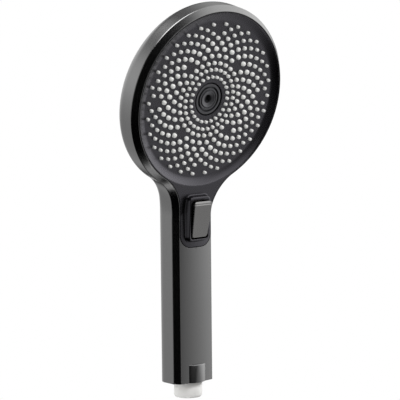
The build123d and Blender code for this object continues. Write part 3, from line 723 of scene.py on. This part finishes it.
# ---------------------------------------------------------------- centre insert
def insert_profile():
    """The insert from its outer edge in, as (radius, depth) pairs: land, groove, land, thin groove,
    rim, a shallow cone and the outlet, which ends before it reaches the swirl disc."""
    top = floor_depth + 0.15
    line = rounded(
        [
            (insert_radius, insert_seat),
            (insert_radius, top),
            (9.6, top),
            (9.6, top + 2.4),
            (8.15, top + 2.4),
            (8.15, top),
            (7.0, top),
            (7.0, top + 1.0),
            (6.35, top + 1.0),
            (6.35, top - 0.05),
            (5.7, top - 0.05),
            (5.2, top + 0.2),
            (outlet_radius, top + 0.8),
            (outlet_radius, top + outlet_depth),
            (0.0, top + outlet_depth),
        ],
        [0.25, 0.15, 0.1, 0.1, 0.2, 0.15, 0.1, 0.1, 0.15, 0.2, 0.15, 0.2, 0.2],
        3,
    )
    return refine(line, 0.4)


insert = piece_from_grids("outlet_insert", [flip(turned(insert_profile(), 128))], fine_merge)
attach(insert, "handset")
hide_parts("centre_insert")


# ---------------------------------------------------------------- button
def on_button(x, q, depth):
    """Point on the button: x across, q up its face, depth behind the face."""
    x, q, depth = np.broadcast_arrays(x, q, depth)
    y = -button_front - q * sin(button_lean) + depth * cos(button_lean)
    z = button_low + q * cos(button_lean) + depth * sin(button_lean)
    return np.stack([x, y, z], -1)


def button_grid():
    """The paddle: loops that shrink over a rounded edge onto the face. It is widest at the top,
    where it stands clear of the collar and its sides and tip draw in behind. A thin groove and a
    bevel close the face at the top."""
    plain_half = 6.8

    def loop(inset, behind_face):
        """Across and up the face: the paddle's outline moved inwards, at that depth."""
        draw = min(behind_face / tip_depth, 1)
        top = button_length - inset - tip_draw * draw
        base = box_loop(plain_half - inset, inset, top, max(button_corner - inset, 0.15), 6)
        share = base[:, 1] / button_length
        wide = button_low_half + (button_high_half - button_low_half) * share
        root = np.minimum(wide, button_root_half)
        return base[:, 0] * (wide + (root - wide) * draw) / plain_half, base[:, 1]

    def face_fall(q):
        """How far the face lies back at q: the groove and the bevel near its top."""
        return np.interp(q - button_length, (-2.9, -2.2, -1.6, 0.0), (0.0, 0.6, 0.2, 1.5))

    rows = []
    for depth in (button_depth, 4.0, 2.4, tip_depth):
        x, q = loop(0, depth)
        rows.append(on_button(x, q, depth + face_fall(q) * (1 - depth / button_depth)))
    for a in np.linspace(0, pi / 2, 7):
        x, q = loop(button_edge * (1 - cos(a)), button_edge * (1 - sin(a)))
        rows.append(on_button(x, q, button_edge * (1 - sin(a)) + face_fall(q)))
    x, q = loop(button_edge, 0)
    for part in np.linspace(0, 1, 41)[1:] ** 1.6:
        moved_q = button_length / 2 + (q - button_length / 2) * (1 - part)
        moved_x = x * (1 - part)
        rows.append(on_button(moved_x, moved_q, face_fall(moved_q)))
    return np.stack(rows, 1)


button = piece_from_grids("thumb_button", [button_grid()], fine_merge)
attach(button, "button")
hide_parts("mode_button")


# ---------------------------------------------------------------- connector
def spun(profile, steps=128):
    """A profile of (radius, z) pairs turned about the connector's axis."""
    turn = np.linspace(0, 2 * pi, steps + 1)
    rows = [np.stack([r * np.cos(turn), r * np.sin(turn), np.full_like(turn, z)], -1) for r, z in profile]
    return np.stack(rows, 1)


connector_line = rounded(
    [
        (mouth_radius, thread_end + mouth_depth),
        (mouth_radius, thread_end),
        (thread_radius, thread_end),
        (thread_radius, 0.0),
        (spigot_radius, 0.0),
        (spigot_radius, spigot_top),
        (tube_radius, spigot_top),
        (tube_radius, tube_top),
        (bore_radius, tube_top),
        (bore_radius, thread_end + mouth_depth),
        (mouth_radius, thread_end + mouth_depth),
    ],
    [0.3, 1.8, 0, 0, 0.2, 0.2, 0.2, 0.2, 0],
    8,
)
connector = piece_from_grids("hose_connector", [spun(connector_line)], fine_merge)
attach(connector, "handset")
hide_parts("inlet_nipple")


# ---------------------------------------------------------------- shader groups
def group(name, inputs, outputs):
    """A new shader group with its named inputs and outputs, and its input and output nodes."""
    tree = bpy.data.node_groups.new(name, "ShaderNodeTree")
    for label, kind, value in inputs:
        socket = tree.interface.new_socket(label, in_out="INPUT", socket_type=kind)
        socket.default_value = value
    for label, kind in outputs:
        tree.interface.new_socket(label, in_out="OUTPUT", socket_type=kind)
    return tree, tree.nodes.new("NodeGroupInput"), tree.nodes.new("NodeGroupOutput")


def add_node(tree, kind, **values):
    """A node of that kind with its sockets set by name."""
    node = tree.nodes.new(kind)
    for label, value in values.items():
        node.inputs[label.replace("_", " ")].default_value = value
    return node


def math_node(tree, operation, first, second, clamp=False):
    """A math node; each operand is a number or a socket."""
    node = tree.nodes.new("ShaderNodeMath")
    node.operation = operation
    node.use_clamp = clamp
    for socket, value in zip(node.inputs, (first, second)):
        if isinstance(value, (int, float)):
            socket.default_value = value
        else:
            tree.links.new(value, socket)
    return node.outputs[0]


def make_paint_grain():
    """Fine even grain of satin paint: two noises of different size, as a brightness factor, a
    roughness and a height."""
    tree, given, result = group(
        "paint_grain",
        [
            ("Scale", "NodeSocketFloat", 900.0),
            ("Roughness", "NodeSocketFloat", 0.35),
            ("Variation", "NodeSocketFloat", 0.05),
        ],
        [("Tone", "NodeSocketFloat"), ("Roughness", "NodeSocketFloat"), ("Height", "NodeSocketFloat")],
    )
    where = tree.nodes.new("ShaderNodeTexCoord")
    fine = add_node(tree, "ShaderNodeTexNoise", Detail=3.0, Roughness=0.6)
    broad = add_node(tree, "ShaderNodeTexNoise", Scale=28.0, Detail=2.0)
    tree.links.new(where.outputs["Object"], fine.inputs["Vector"])
    tree.links.new(where.outputs["Object"], broad.inputs["Vector"])
    tree.links.new(given.outputs["Scale"], fine.inputs["Scale"])
    centred = math_node(tree, "SUBTRACT", broad.outputs["Fac"], 0.5)
    spread = math_node(tree, "MULTIPLY", centred, given.outputs["Variation"])
    tone = math_node(tree, "ADD", spread, 1.0)
    rough_part = math_node(tree, "MULTIPLY", math_node(tree, "SUBTRACT", fine.outputs["Fac"], 0.5), 0.12)
    broad_part = math_node(tree, "MULTIPLY", centred, 0.05)
    rough = math_node(tree, "ADD", given.outputs["Roughness"], rough_part)
    rough = math_node(tree, "ADD", rough, broad_part)
    tree.links.new(tone, result.inputs["Tone"])
    tree.links.new(rough, result.inputs["Roughness"])
    tree.links.new(fine.outputs["Fac"], result.inputs["Height"])
    return tree


def make_edge_wear():
    """Where an edge stands out: pointiness of the mesh raised to a mask from 0 to 1, broken up by a
    little noise."""
    tree, given, result = group(
        "edge_wear",
        [("Start", "NodeSocketFloat", 0.52), ("Width", "NodeSocketFloat", 0.06)],
        [("Mask", "NodeSocketFloat")],
    )
    shape = tree.nodes.new("ShaderNodeNewGeometry")
    where = tree.nodes.new("ShaderNodeTexCoord")
    speck = add_node(tree, "ShaderNodeTexNoise", Scale=400.0, Detail=2.0)
    tree.links.new(where.outputs["Object"], speck.inputs["Vector"])
    over = math_node(tree, "SUBTRACT", shape.outputs["Pointiness"], given.outputs["Start"])
    share = math_node(tree, "DIVIDE", over, given.outputs["Width"], True)
    broken = math_node(tree, "MULTIPLY", share, math_node(tree, "ADD", speck.outputs["Fac"], 0.4), True)
    tree.links.new(broken, result.inputs["Mask"])
    return tree


def make_dust():
    """Faint patchy dust on what faces up, as a mask from 0 to 1."""
    tree, given, result = group(
        "settled_dust",
        [("Amount", "NodeSocketFloat", 0.2)],
        [("Mask", "NodeSocketFloat")],
    )
    shape = tree.nodes.new("ShaderNodeNewGeometry")
    where = tree.nodes.new("ShaderNodeTexCoord")
    speck = add_node(tree, "ShaderNodeTexNoise", Scale=260.0, Detail=5.0, Roughness=0.7)
    tree.links.new(where.outputs["Object"], speck.inputs["Vector"])
    split = tree.nodes.new("ShaderNodeSeparateXYZ")
    tree.links.new(shape.outputs["Normal"], split.inputs[0])
    up = math_node(tree, "MAXIMUM", split.outputs["Z"], 0.0)
    patchy = math_node(tree, "MULTIPLY", up, speck.outputs["Fac"])
    mask = math_node(tree, "MULTIPLY", patchy, given.outputs["Amount"], True)
    tree.links.new(mask, result.inputs["Mask"])
    return tree


paint_grain = make_paint_grain()
edge_wear = make_edge_wear()
settled_dust = make_dust()


def use(tree, inner, **values):
    """That group as a node in a material, with its inputs set by name."""
    node = tree.nodes.new("ShaderNodeGroup")
    node.node_tree = inner
    for label, value in values.items():
        node.inputs[label].default_value = value
    return node


def new_material(name):
    """A node material, its tree and its Principled shader."""
    material = bpy.data.materials.new(name)
    material.use_nodes = True
    return material, material.node_tree, material.node_tree.nodes["Principled BSDF"]


def tinted(tree, shader, colour, grain, wear=None, wear_colour=None, dust=None):
    """Base colour: the plain colour times the grain's tone, then worn edges and dust over it."""
    tone = tree.nodes.new("ShaderNodeVectorMath")
    tone.operation = "SCALE"
    tone.inputs[0].default_value = colour
    tree.links.new(grain.outputs["Tone"], tone.inputs["Scale"])
    result = tone.outputs[0]
    if wear:
        mix = tree.nodes.new("ShaderNodeMix")
        mix.data_type = "RGBA"
        tree.links.new(wear.outputs["Mask"], mix.inputs["Factor"])
        tree.links.new(result, mix.inputs["A"])
        mix.inputs["B"].default_value = (*wear_colour, 1)
        result = mix.outputs["Result"]
    if dust:
        mix = tree.nodes.new("ShaderNodeMix")
        mix.data_type = "RGBA"
        tree.links.new(dust.outputs["Mask"], mix.inputs["Factor"])
        tree.links.new(result, mix.inputs["A"])
        mix.inputs["B"].default_value = (0.5, 0.49, 0.47, 1)
        result = mix.outputs["Result"]
    tree.links.new(result, shader.inputs["Base Color"])


def bump(tree, shader, height, strength, distance):
    """A bump from a height into the shader's normal."""
    node = tree.nodes.new("ShaderNodeBump")
    node.inputs["Strength"].default_value = strength
    node.inputs["Distance"].default_value = distance
    tree.links.new(height, node.inputs["Height"])
    tree.links.new(node.outputs["Normal"], shader.inputs["Normal"])


def satin_paint(name, colour, metallic, rough, wear_colour):
    """Satin metallic paint over plastic: fine grain, slightly brighter edges, faint dust."""
    material, tree, shader = new_material(name)
    grain = use(tree, paint_grain, Scale=1500.0, Roughness=rough, Variation=0.03)
    wear = use(tree, edge_wear, Start=0.53, Width=0.12)
    dust = use(tree, settled_dust, Amount=0.03)
    tinted(tree, shader, colour, grain, wear, wear_colour, dust)
    tree.links.new(grain.outputs["Roughness"], shader.inputs["Roughness"])
    shader.inputs["Metallic"].default_value = metallic
    bump(tree, shader, grain.outputs["Height"], 0.01, 0.00002)
    return material


def soft_material(name, colour, rough, wear_colour, sub=0.0, depth=0.001):
    """Plain moulded material: even colour, grain and a touch of dust."""
    material, tree, shader = new_material(name)
    grain = use(tree, paint_grain, Scale=700.0, Roughness=rough, Variation=0.08)
    wear = use(tree, edge_wear, Start=0.54, Width=0.15)
    dust = use(tree, settled_dust, Amount=0.05)
    tinted(tree, shader, colour, grain, wear, wear_colour, dust)
    tree.links.new(grain.outputs["Roughness"], shader.inputs["Roughness"])
    shader.inputs["Subsurface Weight"].default_value = sub
    shader.inputs["Subsurface Radius"].default_value = (1, 1, 1)
    shader.inputs["Subsurface Scale"].default_value = depth
    bump(tree, shader, grain.outputs["Height"], 0.1, 0.00004)
    return material


def steel(name):
    """Turned stainless steel: grain with fine rings of roughness."""
    material, tree, shader = new_material(name)
    where = tree.nodes.new("ShaderNodeTexCoord")
    wave = add_node(tree, "ShaderNodeTexWave", Scale=900.0, Distortion=2.0, Detail=2.0)
    wave.wave_type = "RINGS"
    tree.links.new(where.outputs["Object"], wave.inputs["Vector"])
    grain = use(tree, paint_grain, Scale=900.0, Roughness=0.28, Variation=0.1)
    rings_part = math_node(tree, "MULTIPLY", wave.outputs["Fac"], 0.1)
    rough = math_node(tree, "ADD", grain.outputs["Roughness"], rings_part)
    tinted(tree, shader, (0.6, 0.6, 0.6), grain)
    tree.links.new(rough, shader.inputs["Roughness"])
    shader.inputs["Metallic"].default_value = 1.0
    return material


def put(piece, material):
    """That material in the piece's only slot."""
    piece.data.materials.clear()
    piece.data.materials.append(material)


shell_paint = satin_paint("shell_paint", (0.2, 0.2, 0.2), 1.0, 0.2, (0.26, 0.26, 0.26))
cover_paint = satin_paint("cover_paint", (0.074, 0.072, 0.08), 1.0, 0.27, (0.1, 0.1, 0.11))
button_paint = satin_paint("button_paint", (0.225, 0.222, 0.22), 1.0, 0.26, (0.28, 0.28, 0.28))
nub_silicone = soft_material("nub_silicone", (0.62, 0.62, 0.605), 0.38, (0.68, 0.68, 0.67), 0.1, 0.0004)
insert_plastic = satin_paint("insert_plastic", (0.085, 0.085, 0.091), 0.8, 0.3, (0.16, 0.16, 0.17))
connector_white = soft_material("connector_white", (0.6, 0.595, 0.58), 0.45, (0.64, 0.64, 0.63), 0.9, 0.01)
inner_plastic = soft_material("inner_plastic", (0.33, 0.33, 0.31), 0.5, (0.4, 0.4, 0.38))
seal_rubber = soft_material("seal_rubber", (0.012, 0.012, 0.012), 0.55, (0.03, 0.03, 0.03))
screw_steel = steel("screw_steel")

finishes = {
    "shell_paint": shell_paint,
    "cover_paint": cover_paint,
    "button_paint": button_paint,
    "nub_silicone": nub_silicone,
    "insert_plastic": insert_plastic,
    "connector_white": connector_white,
    "inner_plastic": inner_plastic,
    "seal_rubber": seal_rubber,
    "screw_steel": screw_steel,
}
for piece, material in (
    (shell, shell_paint),
    (cover, cover_paint),
    (nubs, nub_silicone),
    (insert, insert_plastic),
    (button, button_paint),
    (connector, connector_white),
):
    put(piece, material)
# the solids that are shown as they are take the finish of their slot
for subpart in frame["record"]["subparts"]:
    carried = frame["nodes"][subpart["node"]]
    put(carried, finishes[subpart["material_slot"]])


# ---------------------------------------------------------------- camera
azimuth, elevation, roll = radians(-40.15), radians(6.82), radians(-0.55)
backward = Vector((sin(azimuth) * cos(elevation), -cos(azimuth) * cos(elevation), sin(elevation)))
level = Vector((cos(azimuth), sin(azimuth), 0))
upward = backward.cross(level)
right = level * cos(roll) + upward * sin(roll)
upright = upward * cos(roll) - level * sin(roll)
camera_data = bpy.data.cameras.new("front_camera")
camera_data.sensor_width = 36
camera_data.lens = 192.87
camera_data.clip_start = 0.1
camera_data.clip_end = 50
camera = bpy.data.objects.new("front_camera", camera_data)
bpy.context.scene.collection.objects.link(camera)
place = Matrix((right, upright, backward)).transposed().to_4x4()
place.translation = Vector((-0.9992, -1.2003, 0.3213))
camera.matrix_world = place
bpy.context.scene.camera = camera


# ---------------------------------------------------------------- studio
def soft_lamp(name, toward, distance, width, height, power):
    """A soft lamp in that direction from the object's middle, which it looks at. Reflections don't
    show it."""
    data = bpy.data.lights.new(name, "AREA")
    data.shape = "RECTANGLE"
    data.size = width
    data.size_y = height
    data.energy = power
    lamp = bpy.data.objects.new(name, data)
    bpy.context.scene.collection.objects.link(lamp)
    middle = Vector((0, -0.01, 0.16))
    lamp.location = middle + Vector(toward).normalized() * distance
    lamp.rotation_euler = (middle - lamp.location).to_track_quat("-Z", "Y").to_euler()
    lamp.visible_glossy = False


soft_lamp("lamp_front_right", (0.3, -0.8, 0.8), 1.4, 0.35, 0.35, 17)
soft_lamp("lamp_left", (-1.0, -0.1, -0.3), 1.4, 0.9, 0.9, 19)

# soft lights of the room: azimuth from the front towards the right and elevation in degrees,
# how far from there the light is full and how far until it ends, and its strength. Most come
# from a fit, rounded, and a few are given.
darkest = 0.004
room_lights = [
    (80, 32, 1, 64, 1.75),
    (60, -20, 22, 47, 0.6),
    (-166, 0, 36, 48, 0.88),
    (-166, 25, 5, 46, 0.55),
    (0, -8, 8, 34, 0.11),
    (-103, 2, 20, 35, 0.5),
    (-110, 78, 8, 32, 6.5),
    (89, -55, 2, 55, 0.9),
    (9, 27, 3, 30, 1.1),
]


def aim(turn, rise):
    """Unit direction from azimuth and elevation in degrees."""
    turn, rise = radians(turn), radians(rise)
    return Vector((sin(turn) * cos(rise), -cos(turn) * cos(rise), sin(rise)))


def studio_world():
    """The room: broad soft lights that fade out with the angle from their middle, a dark side on
    the left in front, and everything dimmer from below. The backdrop is white: the camera sees it
    all round, and reflections and clear parts see it where it stands, behind the object."""
    world = bpy.data.worlds.new("studio")
    world.use_nodes = True
    tree = world.node_tree
    back = tree.nodes["Background"]
    where = tree.nodes.new("ShaderNodeTexCoord")
    level = darkest
    for turn, rise, full, end, strength in room_lights:
        near = tree.nodes.new("ShaderNodeVectorMath")
        near.operation = "DOT_PRODUCT"
        near.inputs[1].default_value = aim(turn, rise)
        tree.links.new(where.outputs["Generated"], near.inputs[0])
        fade = add_node(
            tree,
            "ShaderNodeMapRange",
            From_Min=cos(radians(end)),
            From_Max=cos(radians(full)),
            To_Min=0.0,
            To_Max=strength,
        )
        fade.interpolation_type = "SMOOTHSTEP"
        tree.links.new(near.outputs["Value"], fade.inputs["Value"])
        level = math_node(tree, "ADD", fade.outputs["Result"], level)
    split = tree.nodes.new("ShaderNodeSeparateXYZ")
    tree.links.new(where.outputs["Generated"], split.inputs[0])
    under = add_node(tree, "ShaderNodeMapRange", From_Min=-0.8, From_Max=0.15, To_Min=0.5, To_Max=1.0)
    tree.links.new(split.outputs["Z"], under.inputs["Value"])
    level = math_node(tree, "MULTIPLY", level, under.outputs["Result"])
    path = tree.nodes.new("ShaderNodeLightPath")
    behind = tree.nodes.new("ShaderNodeVectorMath")
    behind.operation = "DOT_PRODUCT"
    behind.inputs[1].default_value = -backward
    tree.links.new(where.outputs["Generated"], behind.inputs[0])
    wall = add_node(tree, "ShaderNodeMapRange", From_Min=cos(radians(14)), From_Max=cos(radians(10)))
    tree.links.new(behind.outputs["Value"], wall.inputs["Value"])
    glossy, clear = path.outputs["Is Glossy Ray"], path.outputs["Is Transmission Ray"]
    mirrored = math_node(tree, "ADD", glossy, clear, True)
    mirrored = math_node(tree, "MULTIPLY", mirrored, wall.outputs["Result"])
    seen = math_node(tree, "ADD", path.outputs["Is Camera Ray"], mirrored, True)
    level = math_node(tree, "MAXIMUM", level, seen)
    tree.links.new(level, back.inputs["Color"])
    back.inputs["Strength"].default_value = 1.0
    bpy.context.scene.world = world


studio_world()


def white_card(name, points):
    """A flat pale card through those points: matt, with enough of its own white in what the
    camera, reflections and clear parts see that only a shadow shows on it."""
    mesh = bpy.data.meshes.new(name)
    mesh.from_pydata(points, [], [list(range(len(points)))])
    card = bpy.data.objects.new(name, mesh)
    bpy.context.scene.collection.objects.link(card)
    material, tree, shader = new_material(name)
    where = tree.nodes.new("ShaderNodeTexCoord")
    noise = add_node(tree, "ShaderNodeTexNoise", Scale=60.0, Detail=4.0)
    tree.links.new(where.outputs["Object"], noise.inputs["Vector"])
    tint = add_node(tree, "ShaderNodeMapRange", To_Min=0.84, To_Max=0.88)
    tree.links.new(noise.outputs["Fac"], tint.inputs["Value"])
    tree.links.new(tint.outputs[0], shader.inputs["Base Color"])
    shader.inputs["Roughness"].default_value = 0.9
    white = add_node(tree, "ShaderNodeEmission", Strength=1.0)
    white.inputs["Color"].default_value = (1, 1, 1, 1)
    path = tree.nodes.new("ShaderNodeLightPath")
    seen = math_node(tree, "ADD", path.outputs["Is Camera Ray"], path.outputs["Is Glossy Ray"], True)
    seen = math_node(tree, "ADD", seen, path.outputs["Is Transmission Ray"], True)
    share = math_node(tree, "MULTIPLY", seen, 0.85)
    choose = tree.nodes.new("ShaderNodeMixShader")
    tree.links.new(share, choose.inputs[0])
    tree.links.new(shader.outputs[0], choose.inputs[1])
    tree.links.new(white.outputs[0], choose.inputs[2])
    tree.links.new(choose.outputs[0], tree.nodes["Material Output"].inputs["Surface"])
    put(card, material)


# the object hangs above a small round pale floor, in metres
floor_level = float(cad_low.z) - 0.9
disc_radius = 0.22
turns = np.linspace(0, 2 * pi, 97)[:-1]
white_card("floor", [(disc_radius * cos(t), disc_radius * sin(t), floor_level) for t in turns])

scene = bpy.context.scene
scene.view_settings.view_transform = "Standard"
